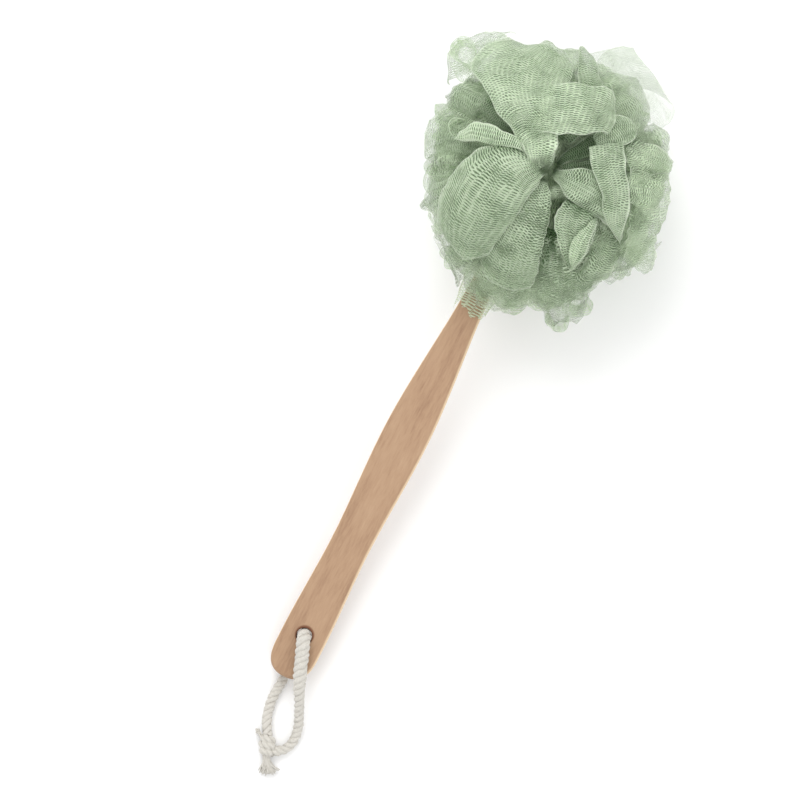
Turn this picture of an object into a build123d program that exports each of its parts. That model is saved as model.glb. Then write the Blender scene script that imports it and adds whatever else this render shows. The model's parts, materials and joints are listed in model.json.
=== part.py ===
from build123d import *

import math
import os

# A bath pouf on a long wooden handle, lying on its back. Millimetres, +Z up, the handle
# along Y with its tail at -Y. The origin is at the middle of the footprint, on the floor.
# The pouf rests on the floor, so the handle slopes down from it to the tail, which lies
# on the hanging rope where the rope passes under it.

# ---- driving dimensions ----
overall_length = 398
pouf_radius = 76
pouf_half_height = 68
tie_height = 58
tail_height = 11
handle_thickness = 9
rope_diameter = 6

tail_y = -overall_length / 2
tie_y = overall_length / 2 - pouf_radius
slope = math.atan((tie_height - tail_height) / (tie_y - tail_y))
handle_reach = (tie_y - tail_y) / math.cos(slope)
half_thickness = handle_thickness / 2

# ---- handle ----
# half widths of the flat handle, and how far each one is from the tail
tail_round_length = 17
hole_half_width, hole_station = 13.4, 27
waist_half_width, waist_station = 11.6, 85
belly_half_width, belly_station = 13.5, 161
neck_half_width, neck_station = 7.8, 238
head_half_width, head_station = 6.8, 300
head_overhang = 14
handle_rounding = 2.4
hanging_hole_diameter = 9
hanging_hole_rounding = 1.2
lashing_hole_diameter = 4.6
lashing_hole_offset = 5.5

# ---- pouf ----
# each length of netting is a lobe between two angles seen from the tie, and its waist
# crosses the well at a height above or below the tie
lobe_layout = {
    "netting_rear": (-90, -40, -12.8),
    "netting_rear_middle": (-40, 0, -7.2),
    "netting_front_middle": (0, 40, 7.2),
    "netting_front": (40, 90, 12.8),
}
lobe_gap = 0.6
lobe_rounding = 8
rim_zone = 60
well_radius = 12
waist_width = 8
waist_thickness = 4.4
waist_overlap = 0.6
slot_width = 19
slot_clearance = 0.5
slot_start = -pouf_radius - 10
slot_end = head_overhang + 2

# ---- binding cord ----
binding_diameter = 2
binding_clearance = 0.2
binding_turn_spacing = 2.1
binding_bend = 2
binding_knot_half_length = 3.4
binding_knot_half_width = 2.4

# ---- hanging rope: the route of its middle, from the knot over the handle's top face,
# down through the hole, back under the tail and to the knot. x and y are measured from
# the middle of the tail's end, z from the floor. ----
floor_run = rope_diameter / 2 + 0.05
rope_points = [
    (13.6, -42.6, 4.2),
    (19.6, -39.0, floor_run),
    (22.6, -32.0, floor_run),
    (21.2, -23.0, 5.2),
    (16.2, -12.0, 12.4),
    (10.6, -1.2, 19.5),
    (5.2, 12.4, 21.1),
    (-0.2, 26.1, 22.8),
    (0.0, 28.4, 7.1),
    (1.0, 13.4, 4.9),
    (0.6, -2.0, floor_run),
    (-0.3, -16.6, floor_run),
    (2.8, -28.4, 3.3),
    (7.6, -35.6, 4.4),
]
knot_centre = (9.6, -40.0, 4.8)
knot_half_length = 7.8
knot_half_width = 4.7
knot_direction = (-0.45, 0.89, 0)
lower_end_start = (12.2, -46.6, 3.6)
lower_end_tip = (17.2, -56.8, 2.2)
lower_end_neck_radius = 2.3
lower_end_spread = (6.2, 2.0)
upper_end_start = (6.6, -38.2, 4.8)
upper_end_tip = (-1.0, -34.9, 2.0)
upper_end_radius = 2.6
upper_end_tip_radius = 0.7

handle_direction = Vector(0, math.cos(slope), math.sin(slope))
face_direction = Vector(0, -math.sin(slope), math.cos(slope))
tie = Vector(0, tie_y, tie_height)
handle_plane = Plane(origin=tie, x_dir=(1, 0, 0), z_dir=face_direction)
lobe_plane = Plane(origin=tie, x_dir=(1, 0, 0), z_dir=-handle_direction)
tie_axis = Axis(origin=tie, direction=face_direction)


def from_tail(station):
    """Distance along the handle from the tie, for a station measured from the tail."""
    return station - handle_reach


# The wooden handle: a flat waisted blade, with a hole for the rope and two for the tie.
with BuildPart() as handle:
    with BuildSketch(handle_plane):
        with BuildLine():
            tail_end = Spline(
                (0, from_tail(0)),
                (hole_half_width, from_tail(tail_round_length)),
                tangents=[(1, 0), (0, 1)],
            )
            side = Spline(
                tail_end @ 1,
                (hole_half_width, from_tail(hole_station)),
                (waist_half_width, from_tail(waist_station)),
                (belly_half_width, from_tail(belly_station)),
                (neck_half_width, from_tail(neck_station)),
                (head_half_width, from_tail(head_station)),
                tangents=[(0, 1), (0, 1)],
            )
            head_side = Line(side @ 1, (head_half_width, head_overhang - head_half_width))
            TangentArc(head_side @ 1, (0, head_overhang), tangent=head_side % 1)
            mirror(about=Plane.YZ)
        make_face()
    extrude(amount=half_thickness, both=True)
    broad_faces = handle.faces().sort_by(tie_axis)
    fillet(broad_faces[0].edges() + broad_faces[-1].edges(), radius=handle_rounding)
    with Locations(handle_plane.offset(half_thickness)):
        with Locations((0, from_tail(hole_station))):
            Hole(radius=hanging_hole_diameter / 2, depth=handle_thickness)
        with Locations((0, -lashing_hole_offset), (0, lashing_hole_offset)):
            Hole(radius=lashing_hole_diameter / 2, depth=handle_thickness)
    hole_rims = handle.edges().filter_by(
        lambda edge: edge.geom_type == GeomType.CIRCLE
        and abs(edge.radius - hanging_hole_diameter / 2) < 0.01
    )
    fillet(hole_rims, radius=hanging_hole_rounding)
handle.part.label = "handle"


def rim_point(angle):
    """Where a ray at this angle from the tie meets the pouf's outline."""
    flattening = pouf_half_height / pouf_radius
    turn = math.atan2(math.sin(math.radians(angle)), flattening * math.cos(math.radians(angle)))
    return pouf_radius * math.cos(turn), pouf_half_height * math.sin(turn)


def lobe_boundary(angle, lift):
    """Corners of a lobe's half section along one side, from the well to the rim."""
    if abs(angle) == 90:
        well_height = pouf_half_height * math.sqrt(1 - (well_radius / pouf_radius) ** 2)
        return [(well_radius, math.copysign(well_height, angle))]
    rim_x, rim_y = rim_point(angle)
    return [(well_radius, well_radius * math.tan(math.radians(angle)) + lift), (rim_x, rim_y + lift)]


# The pouf: four gathered lengths of netting. Each is a round lobe with a well at the tie,
# crossed by the narrow waist that the binding cord holds, and with room for the handle.
lobes = []
for lobe_name, (low_angle, high_angle, waist_height) in lobe_layout.items():
    low_side = lobe_boundary(low_angle, lobe_gap / 2)
    high_side = lobe_boundary(high_angle, -lobe_gap / 2)
    with BuildPart() as lobe:
        with BuildSketch(lobe_plane) as section:
            with BuildLine():
                Polyline(*reversed(low_side), *high_side)
                ThreePointArc(low_side[-1], rim_point((low_angle + high_angle) / 2), high_side[-1])
            make_face()
            rim_corners = [
                corner for corner in section.vertices() if corner.distance_to(Vector()) > rim_zone
            ]
            fillet(rim_corners, radius=lobe_rounding)
        revolve(axis=tie_axis)
        with BuildSketch(handle_plane.offset(waist_height - waist_thickness / 2)):
            Rectangle(2 * well_radius + waist_overlap, waist_width)
        extrude(amount=waist_thickness)
        with BuildSketch(handle_plane):
            with Locations((0, (slot_end + slot_start) / 2)):
                Rectangle(slot_width, slot_end - slot_start)
        extrude(amount=half_thickness + slot_clearance, both=True, mode=Mode.SUBTRACT)
        split(bisect_by=Plane.XY, keep=Keep.TOP)
    lobe.part.label = lobe_name
    lobes.append(lobe)

# The binding cord: two turns through the handle's lashing holes and round the waists.
outer_waist_face = lobe_layout["netting_front"][2] + waist_thickness / 2
cord_end_height = outer_waist_face + binding_clearance + binding_diameter / 2
with BuildPart() as binding_cord:
    for side_step in (-binding_turn_spacing / 2, binding_turn_spacing / 2):
        turn_plane = Plane(
            origin=tie + Vector(side_step, 0, 0), x_dir=handle_direction, z_dir=(1, 0, 0)
        )
        with BuildLine(turn_plane) as cord_turn:
            FilletPolyline(
                (lashing_hole_offset, cord_end_height),
                (lashing_hole_offset, -cord_end_height),
                (-lashing_hole_offset, -cord_end_height),
                (-lashing_hole_offset, cord_end_height),
                radius=binding_bend,
                close=True,
            )
        with BuildSketch(Plane(origin=cord_turn.line @ 0, z_dir=cord_turn.line % 0)):
            Circle(binding_diameter / 2)
        sweep()
binding_cord.part.label = "binding_cord"



def half_ellipse(half_length, half_width):
    """The upper half of an ellipse, to be turned about its long axis."""
    Ellipse(half_length, half_width)
    with Locations((0, -half_width)):
        Rectangle(2 * half_length, 2 * half_width, mode=Mode.SUBTRACT)


# The binding cord's knot, seated on the two turns at the bottom of the front well.
knot_seat = cord_end_height + binding_diameter / 2 + binding_knot_half_width + 0.1
binding_knot_centre = tie + face_direction * knot_seat
with BuildPart() as binding_knot:
    with BuildSketch(
        Plane(origin=binding_knot_centre, x_dir=(1, 0, 0), z_dir=face_direction)
    ):
        half_ellipse(binding_knot_half_length, binding_knot_half_width)
    revolve(axis=Axis(origin=binding_knot_centre, direction=(1, 0, 0)))
binding_knot.part.label = "binding_knot"


def on_loop(point):
    """A point of the hanging loop, moved from the tail's end to the object's frame."""
    return Vector(point[0], tail_y + point[1], point[2])


def corner_radii(points):
    """The largest radius that each corner of a route leaves room for."""
    radii = []
    for before, corner, after in zip(points, points[1:], points[2:]):
        run_in, run_out = corner - before, after - corner
        half_turn = math.radians(run_in.get_angle(run_out)) / 2
        shorter = min(run_in.length, run_out.length)
        radii.append(0.45 * shorter / math.tan(half_turn))
    return radii


# The hanging rope: one round tube along the route of the loop.
rope_route = [on_loop(point) for point in rope_points]
rope_radii = corner_radii(rope_route)
with BuildPart() as hanging_rope:
    with BuildLine() as rope_line:
        FilletPolyline(*rope_route, radius=rope_radii)
    with BuildSketch(Plane(origin=rope_line.line @ 0, z_dir=rope_line.line % 0)):
        Circle(rope_diameter / 2)
    sweep()
hanging_rope.part.label = "hanging_rope"

# The rope's knot: the outer shape of an overhand knot in both legs.
knot_x = Vector(*knot_direction).normalized()
with BuildPart() as rope_knot:
    with BuildSketch(Plane(origin=on_loop(knot_centre), x_dir=knot_x, z_dir=(0, 0, 1))):
        half_ellipse(knot_half_length, knot_half_width)
    revolve(axis=Axis(origin=on_loop(knot_centre), direction=knot_x))
rope_knot.part.label = "rope_knot"

# The rope's lower cut end, which opens into a flat brush of loose fibres.
lower_start, lower_tip = on_loop(lower_end_start), on_loop(lower_end_tip)
lower_direction = (lower_tip - lower_start).normalized()
across = Vector(0, 0, 1).cross(lower_direction)
with BuildPart() as rope_end_lower:
    with BuildSketch(Plane(origin=lower_start, x_dir=across, z_dir=lower_direction)):
        Circle(lower_end_neck_radius)
    with BuildSketch(Plane(origin=lower_tip, x_dir=across, z_dir=lower_direction)):
        Ellipse(*lower_end_spread)
    loft()
rope_end_lower.part.label = "rope_end_lower"

# The rope's upper cut end, a short pointed tuft.
upper_start, upper_tip = on_loop(upper_end_start), on_loop(upper_end_tip)
upper_direction = (upper_tip - upper_start).normalized()
with BuildPart() as rope_end_upper:
    with BuildSketch(Plane(origin=upper_start, z_dir=upper_direction)):
        Circle(upper_end_radius)
    with BuildSketch(Plane(origin=upper_tip, z_dir=upper_direction)):
        Circle(upper_end_tip_radius)
    loft()
rope_end_upper.part.label = "rope_end_upper"

rope_section = math.pi * (rope_diameter / 2) ** 2
rope_length = rope_line.wire().length
print("rope length", round(rope_length, 1))
print("rope radii", [round(radius, 1) for radius in rope_radii])
print("rope volume over section times length",
      round(hanging_rope.part.volume / (rope_section * rope_length), 4))

os.makedirs("parts", exist_ok=True)
pieces = [handle, *lobes, binding_cord, binding_knot]
pieces += [hanging_rope, rope_knot, rope_end_lower, rope_end_upper]
for piece in pieces:
    export_step(piece.part, f"parts/{piece.part.label}.step")
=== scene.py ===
import json
import math

import bpy
import numpy as np
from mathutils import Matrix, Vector


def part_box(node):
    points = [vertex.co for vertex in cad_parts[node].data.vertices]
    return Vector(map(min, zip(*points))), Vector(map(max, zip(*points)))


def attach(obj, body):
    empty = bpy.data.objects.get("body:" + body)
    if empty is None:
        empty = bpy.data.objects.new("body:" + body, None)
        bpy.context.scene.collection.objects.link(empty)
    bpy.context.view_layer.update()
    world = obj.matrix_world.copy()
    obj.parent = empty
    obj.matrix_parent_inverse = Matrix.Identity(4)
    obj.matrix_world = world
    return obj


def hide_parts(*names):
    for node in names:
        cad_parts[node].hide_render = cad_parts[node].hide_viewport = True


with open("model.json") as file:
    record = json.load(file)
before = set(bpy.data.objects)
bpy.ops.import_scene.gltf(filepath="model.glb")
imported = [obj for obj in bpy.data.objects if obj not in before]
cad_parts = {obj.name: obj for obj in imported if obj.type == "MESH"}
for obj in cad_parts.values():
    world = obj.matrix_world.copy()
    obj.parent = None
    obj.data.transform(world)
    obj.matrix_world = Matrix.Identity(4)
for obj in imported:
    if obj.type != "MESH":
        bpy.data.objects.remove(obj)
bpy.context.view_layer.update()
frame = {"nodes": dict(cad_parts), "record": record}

MM = 0.001

# ---- places, from the frame ----
TAIL_Y = -0.199
lobe_low, lobe_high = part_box("netting_front_middle")
POUF_X = (lobe_low[0] + lobe_high[0]) / 2 / MM
POUF_Y = (lobe_low[1] + lobe_high[1]) / 2 / MM + 0.5
TIE_HEIGHT = 58.0
HOLE_Y = frame["record"]["behaviour"]["joints"][0]["pos_m"][1]
LOOP_BODY = "hanging_loop"
MAIN_BODY = "handle_and_pouf"

# ---- camera, above the object and rolled so that the handle leans as in the picture ----
CAMERA_ROLL = math.radians(26.97)
CAMERA_HEIGHT = 6.0
FRAMED_WIDTH = 0.460
FRAMED_HEIGHT_LEVEL = 0.045
SENSOR = 36.0


def add_camera():
    data = bpy.data.cameras.new("camera")
    data.sensor_width = SENSOR
    data.lens = SENSOR * (CAMERA_HEIGHT - FRAMED_HEIGHT_LEVEL) / FRAMED_WIDTH
    data.clip_end = 50
    camera = bpy.data.objects.new("camera", data)
    camera.location = (-0.0124, TAIL_Y + 0.1726, CAMERA_HEIGHT)
    camera.rotation_euler = (0, 0, CAMERA_ROLL)
    bpy.context.scene.collection.objects.link(camera)
    bpy.context.scene.camera = camera


def add_area_light(name, location, target, size, power):
    data = bpy.data.lights.new(name, "AREA")
    data.shape = "DISK"
    data.size = size
    data.energy = power
    light = bpy.data.objects.new(name, data)
    light.location = location
    aim = Vector(target) - Vector(location)
    light.rotation_euler = aim.to_track_quat("-Z", "Y").to_euler()
    bpy.context.scene.collection.objects.link(light)


def add_light_and_floor():
    world = bpy.data.worlds.new("studio")
    world.use_nodes = True
    world.node_tree.nodes["Background"].inputs["Color"].default_value = (1, 1, 1, 1)
    world.node_tree.nodes["Background"].inputs["Strength"].default_value = 1.02
    bpy.context.scene.world = world
    bpy.context.scene.view_settings.view_transform = "Standard"
    bpy.context.scene.cycles.transparent_max_bounces = 32
    add_area_light("key", (-0.9, 0.9, 1.6), (0, 0, 0.03), 1.4, 19)
    add_area_light("fill", (1.2, -0.6, 1.8), (0, 0, 0.03), 1.8, 7)

    bpy.ops.mesh.primitive_plane_add(size=8)
    floor = bpy.context.object
    floor.name = "floor"
    floor.data.materials.append(plain_material("floor", (0.93, 0.93, 0.93), 0.9))


# ---- materials ----
def new_material(name):
    material = bpy.data.materials.new(name)
    material.use_nodes = True
    tree = material.node_tree
    return material, tree, tree.nodes["Principled BSDF"]


def plain_material(name, colour, roughness):
    material, tree, shader = new_material(name)
    shader.inputs["Base Color"].default_value = (*colour, 1)
    shader.inputs["Roughness"].default_value = roughness
    return material


def add_math(tree, operation, first, second=None, clamp=False):
    node = tree.nodes.new("ShaderNodeMath")
    node.operation = operation
    node.use_clamp = clamp
    for index, value in enumerate((first, second)):
        if value is None:
            continue
        if isinstance(value, (int, float)):
            node.inputs[index].default_value = value
        else:
            tree.links.new(value, node.inputs[index])
    return node.outputs[0]


def add_noise(tree, coordinates, scale, detail=3.0, roughness=0.55):
    node = tree.nodes.new("ShaderNodeTexNoise")
    node.inputs["Scale"].default_value = scale
    node.inputs["Detail"].default_value = detail
    node.inputs["Roughness"].default_value = roughness
    tree.links.new(coordinates, node.inputs["Vector"])
    return node.outputs["Fac"]


def add_range(tree, value, from_min, from_max, to_min, to_max, smooth=False):
    node = tree.nodes.new("ShaderNodeMapRange")
    node.interpolation_type = "SMOOTHSTEP" if smooth else "LINEAR"
    for name, item in (
        ("From Min", from_min),
        ("From Max", from_max),
        ("To Min", to_min),
        ("To Max", to_max),
    ):
        if isinstance(item, (int, float)):
            node.inputs[name].default_value = item
        else:
            tree.links.new(item, node.inputs[name])
    tree.links.new(value, node.inputs["Value"])
    return node.outputs[0]


def add_ramp(tree, value, stops):
    node = tree.nodes.new("ShaderNodeValToRGB")
    ramp = node.color_ramp
    while len(ramp.elements) < len(stops):
        ramp.elements.new(0.5)
    for element, (position, colour) in zip(ramp.elements, stops):
        element.position = position
        element.color = (*colour, 1)
    tree.links.new(value, node.inputs["Fac"])
    return node.outputs["Color"]


def add_bump(tree, height, distance, strength, shader):
    node = tree.nodes.new("ShaderNodeBump")
    node.inputs["Strength"].default_value = strength
    node.inputs["Distance"].default_value = distance
    tree.links.new(height, node.inputs["Height"])
    tree.links.new(node.outputs["Normal"], shader.inputs["Normal"])


def stretched_coordinates(tree, scale):
    coordinates = tree.nodes.new("ShaderNodeTexCoord")
    mapping = tree.nodes.new("ShaderNodeMapping")
    mapping.inputs["Scale"].default_value = scale
    tree.links.new(coordinates.outputs["Object"], mapping.inputs["Vector"])
    return mapping.outputs["Vector"]


def add_mix(tree, factor, first, second):
    """A colour between two others; each may be a socket or a plain colour."""
    node = tree.nodes.new("ShaderNodeMix")
    node.data_type = "RGBA"
    tree.links.new(factor, node.inputs["Factor"])
    for index, colour in ((6, first), (7, second)):
        if isinstance(colour, tuple):
            node.inputs[index].default_value = (*colour, 1)
        else:
            tree.links.new(colour, node.inputs[index])
    return node.outputs[2]


def add_combined(tree, base, amount, factor):
    """base + amount x factor, where amount is a socket and factor a number."""
    return add_math(tree, "ADD", base, add_math(tree, "MULTIPLY", amount, factor))


# the net's rows, and the holes along a row, in millimetres
ROW_PITCH = 1.6
COLUMN_PITCH = 4.4


def netting_material():
    """Knitted netting: rows of lens-shaped holes, set brick-wise, between fine threads.

    The mesh carries a colour attribute, "look": how open the net is, how much painted shade it has,
    how close to a fold (painted as a highlight), and how much of it there is."""
    material, tree, shader = new_material("netting")
    links = tree.links
    uv = tree.nodes.new("ShaderNodeUVMap")
    uv.uv_map = "net"
    place = tree.nodes.new("ShaderNodeSeparateXYZ")
    links.new(uv.outputs["UV"], place.inputs["Vector"])
    look = tree.nodes.new("ShaderNodeAttribute")
    look.attribute_name = "look"
    channels = tree.nodes.new("ShaderNodeSeparateColor")
    links.new(look.outputs["Color"], channels.inputs["Color"])
    openness, painted_shade, fold = (channels.outputs[name] for name in ("Red", "Green", "Blue"))
    presence = look.outputs["Alpha"]
    body = tree.nodes.new("ShaderNodeTexCoord").outputs["Object"]

    along = add_combined(tree, place.outputs["X"], add_noise(tree, body, 90, 2), 1.3)
    across = add_combined(tree, place.outputs["Y"], add_noise(tree, body, 150, 2), 1.8)
    row = add_math(tree, "COSINE", add_math(tree, "MULTIPLY", along, 2 * math.pi / ROW_PITCH))
    column = add_math(tree, "COSINE", add_math(tree, "MULTIPLY", across, math.pi / COLUMN_PITCH))
    between = add_math(tree, "ABSOLUTE", add_math(tree, "SUBTRACT", column, row))
    weave = add_math(tree, "MULTIPLY", between, 0.5)

    patches = add_range(tree, add_noise(tree, body, 75, 3), 0.33, 0.67, 0.32, -0.22)
    speckle = add_range(tree, add_noise(tree, body, 420, 2), 0.3, 0.7, 0.08, -0.08)
    edge = add_math(tree, "ADD", add_range(tree, openness, 0, 1, 0.64, 0.13), patches)
    edge = add_math(tree, "ADD", edge, speckle)
    soft = 0.11
    hole = add_range(
        tree, weave, add_math(tree, "SUBTRACT", edge, soft), add_math(tree, "ADD", edge, soft),
        0.0, 1.0, smooth=True,
    )
    hole = add_math(tree, "MULTIPLY", hole, add_math(tree, "SUBTRACT", 1.0, fold))

    fibre = add_noise(tree, body, 900, 2)
    thread = add_ramp(tree, fibre, [(0.35, (0.62, 0.75, 0.53)), (0.65, (0.84, 0.935, 0.745))])
    # painted shade: deep in the pouf, near the tie and on the layers underneath, the threads are
    # painted a dark green
    shaded = add_mix(tree, painted_shade, thread, (0.075, 0.145, 0.058))
    # painted highlight: the fold lines, where the net is also denser and its holes close, are
    # painted near white
    fold_highlit = add_mix(tree, add_math(tree, "MULTIPLY", fold, 0.8), shaded, (0.90, 0.95, 0.83))
    # painted shade in the holes: they take the dark green of the shaded layers beneath, less so
    # where the net is open
    dark = add_math(tree, "MULTIPLY", hole, add_range(tree, openness, 0, 1, 1.0, 0.3))
    colour = add_mix(tree, dark, fold_highlit, (0.11, 0.225, 0.085))
    links.new(colour, shader.inputs["Base Color"])
    shader.inputs["Roughness"].default_value = 0.75
    shader.inputs["Specular IOR Level"].default_value = 0.12
    shader.inputs["Sheen Weight"].default_value = 0.12
    shader.inputs["Sheen Roughness"].default_value = 0.45
    add_bump(tree, weave, -0.0004, 0.6, shader)

    translucent = tree.nodes.new("ShaderNodeBsdfTranslucent")
    links.new(colour, translucent.inputs["Color"])
    cloth = tree.nodes.new("ShaderNodeMixShader")
    cloth.inputs["Fac"].default_value = 0.35
    links.new(shader.outputs["BSDF"], cloth.inputs[1])
    links.new(translucent.outputs["BSDF"], cloth.inputs[2])

    clearness = add_math(tree, "MULTIPLY", hole, add_range(tree, openness, 0, 1, 0.35, 1.0))
    solid = add_math(tree, "SUBTRACT", 1.0, clearness)
    alpha = add_math(tree, "MULTIPLY", solid, presence)
    clear = tree.nodes.new("ShaderNodeBsdfTransparent")
    holes = tree.nodes.new("ShaderNodeMixShader")
    links.new(alpha, holes.inputs["Fac"])
    links.new(clear.outputs["BSDF"], holes.inputs[1])
    links.new(cloth.outputs["Shader"], holes.inputs[2])
    links.new(holes.outputs["Shader"], tree.nodes["Material Output"].inputs["Surface"])
    return material


def wood_material():
    """Sanded pinkish wood, with a fine lengthwise grain, pale sides (widest on the right, a painted
    highlight) and painted shade in the hanging hole.
    """
    material, tree, shader = new_material("wood")
    links = tree.links
    grain = add_noise(tree, stretched_coordinates(tree, (1.0, 0.035, 1.0)), 900, 4, 0.6)
    bands = add_noise(tree, stretched_coordinates(tree, (1.0, 0.05, 1.0)), 160, 3, 0.5)
    smudges = add_noise(tree, stretched_coordinates(tree, (1.0, 0.3, 1.0)), 45, 2)
    mixed = add_combined(tree, add_math(tree, "MULTIPLY", grain, 0.40), bands, 0.42)
    mixed = add_combined(tree, mixed, smudges, 0.18)
    face = add_ramp(
        tree,
        mixed,
        [(0.32, (0.27, 0.152, 0.086)), (0.5, (0.375, 0.234, 0.139)), (0.68, (0.43, 0.28, 0.172))],
    )
    geometry = tree.nodes.new("ShaderNodeNewGeometry")
    normal = tree.nodes.new("ShaderNodeSeparateXYZ")
    links.new(geometry.outputs["Normal"], normal.inputs["Vector"])
    # the sides are paler; the wide pale band on the edge that faces right is a painted highlight
    right = add_range(tree, normal.outputs["X"], 0.35, 0.85, 0.0, 1.0, smooth=True)
    left = add_range(tree, normal.outputs["X"], -0.8, -0.97, 0.0, 1.0, smooth=True)
    sides = add_mix(tree, add_math(tree, "MAXIMUM", right, left), face, (0.72, 0.55, 0.36))
    from_hole = tree.nodes.new("ShaderNodeVectorMath")
    from_hole.operation = "DISTANCE"
    links.new(stretched_coordinates(tree, (1, 1, 0)), from_hole.inputs[0])
    from_hole.inputs[1].default_value = (0, HOLE_Y, 0)
    # painted shade: the hanging hole's wall and a thin ring round it are painted dark brown
    rim = add_range(tree, from_hole.outputs["Value"], 0.0050, 0.0062, 1.0, 0.0, smooth=True)
    links.new(add_mix(tree, rim, sides, (0.17, 0.068, 0.030)), shader.inputs["Base Color"])
    shader.inputs["Roughness"].default_value = 0.62
    add_bump(tree, grain, 0.0002, 0.35, shader)
    return material


def cotton_material(name, light, dark):
    """Soft spun cotton: fine fibres along the strand and a slight unevenness."""
    material, tree, shader = new_material(name)
    body = tree.nodes.new("ShaderNodeTexCoord").outputs["Object"]
    fibres = add_noise(tree, body, 2600, 3, 0.6)
    colour = add_ramp(tree, fibres, [(0.3, dark), (0.65, light)])
    tree.links.new(colour, shader.inputs["Base Color"])
    shader.inputs["Roughness"].default_value = 0.9
    shader.inputs["Sheen Weight"].default_value = 0.3
    shader.inputs["Sheen Roughness"].default_value = 0.5
    add_bump(tree, fibres, 0.0003, 0.6, shader)
    return material


# ---- meshes ----
def new_object(name, points, faces, material, uvs=None):
    """A smooth mesh object; points are in millimetres."""
    mesh = bpy.data.meshes.new(name)
    mesh.from_pydata((np.asarray(points) * MM).tolist(), [], faces)
    mesh.polygons.foreach_set("use_smooth", [True] * len(mesh.polygons))
    if uvs is not None:
        layer = mesh.uv_layers.new(name="net")
        corners = np.zeros(len(mesh.loops), dtype=np.int64)
        mesh.loops.foreach_get("vertex_index", corners)
        layer.data.foreach_set("uv", np.asarray(uvs)[corners].astype(np.float32).ravel())
    mesh.materials.append(material)
    mesh.update()
    item = bpy.data.objects.new(name, mesh)
    bpy.context.scene.collection.objects.link(item)
    return item


def grid_faces(rows, columns, start=0, closed=False):
    """Quads of a grid of points, row by row; closed joins the last column to the first."""
    faces = []
    for row in range(rows - 1):
        for column in range(columns if closed else columns - 1):
            following = (column + 1) % columns
            faces.append(
                (
                    start + row * columns + column,
                    start + row * columns + following,
                    start + (row + 1) * columns + following,
                    start + (row + 1) * columns + column,
                )
            )
    return faces


# ---- netting ----
# The pouf's outline from the front, read from the photograph: its radius every 15
# degrees, anticlockwise from the right.
OUTLINE = (
    74, 69, 71, 72, 71, 72, 73, 74, 76, 74, 70, 66, 60, 58, 60, 62, 65, 67, 76, 76, 78, 72, 68, 74,
)
FOCUS = (3.0, 7.0)
WELL_DEPTH = 22.0
WELL_RADIUS = 5.5
CROWN_HEIGHT = 60.0
CROWN_RADIUS = 84.0
# loops that would go below FLOOR_EASE flatten out towards FLOOR_GAP
FLOOR_EASE = 4.0
FLOOR_GAP = 0.9
TIE_HALF_WIDTH = 2.5


def outline_radius(azimuth):
    """How far the pouf reaches at an angle in radians, in millimetres."""
    steps = np.degrees(azimuth) % 360 / 15
    return float(np.interp(steps, range(len(OUTLINE) + 1), (*OUTLINE, OUTLINE[0])))


def dome_height(x, y):
    """Height of the pouf's front, in millimetres, above a point given from its middle."""
    distance = np.hypot(x, y)
    crown = TIE_HEIGHT + CROWN_HEIGHT * np.sqrt(np.clip(1 - (distance / CROWN_RADIUS) ** 2, 0, 1))
    from_focus = np.hypot(x - FOCUS[0], y - FOCUS[1])
    return crown - WELL_DEPTH * np.exp(-((from_focus / WELL_RADIUS) ** 2))


class Sheets:
    """Gathers many grids of netting into one mesh."""

    def __init__(self):
        self.points, self.uvs, self.looks, self.faces = [], [], [], []
        self.count = 0

    def add(self, points, uvs, look):
        """A grid of points, the net's own coordinates and the look of it, all in rows."""
        rows, columns = points.shape[:2]
        self.faces += grid_faces(rows, columns, self.count)
        self.points.append(points.reshape(-1, 3))
        self.uvs.append(uvs.reshape(-1, 2))
        self.looks.append(look.reshape(-1, 4))
        self.count += rows * columns

    def build(self, name, material):
        item = new_object(
            name, np.concatenate(self.points), self.faces, material, np.concatenate(self.uvs)
        )
        layer = item.data.color_attributes.new("look", "FLOAT_COLOR", "POINT")
        layer.data.foreach_set("color", np.concatenate(self.looks).astype(np.float32).ravel())
        return item


def net_look(shape, openness, painted_shade, fold, presence):
    """The look of each point of a grid, from values or arrays that fit its shape."""
    parts = [np.broadcast_to(part, shape) for part in (openness, painted_shade, fold, presence)]
    return np.clip(np.stack(parts, axis=-1), 0, 1)


def smooth_rows(stations, count):
    """Points on smooth curves through the stations (Catmull-Rom), evenly spaced by index."""
    stations = np.asarray(stations, dtype=float)
    padded = np.vstack([2 * stations[0] - stations[1], stations, 2 * stations[-1] - stations[-2]])
    steps = np.linspace(0, len(stations) - 1, count)
    index = np.minimum(steps.astype(int), len(stations) - 2)
    t = (steps - index)[:, None]
    p0, p1, p2, p3 = (padded[index + k] for k in range(4))
    return 0.5 * (
        2 * p1
        + (p2 - p0) * t
        + (2 * p0 - 5 * p1 + 4 * p2 - p3) * t**2
        + (3 * p1 - p0 - 3 * p2 + p3) * t**3
    )


def crumple(points, random, size, amount):
    """Smooth random offsets of a field of points, as gentle irregular creases."""
    total = np.zeros(points.shape)
    axes = points.shape[-1]
    for _ in range(7):
        wave = random.normal(size=axes)
        wave *= 2 * math.pi / (size * random.uniform(0.6, 1.6) * np.linalg.norm(wave))
        phase = random.uniform(0, 2 * math.pi)
        push = random.normal(size=axes)
        total += np.sin(points @ wave + phase)[..., None] * push
    return points + total * (amount / math.sqrt(7))


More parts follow.
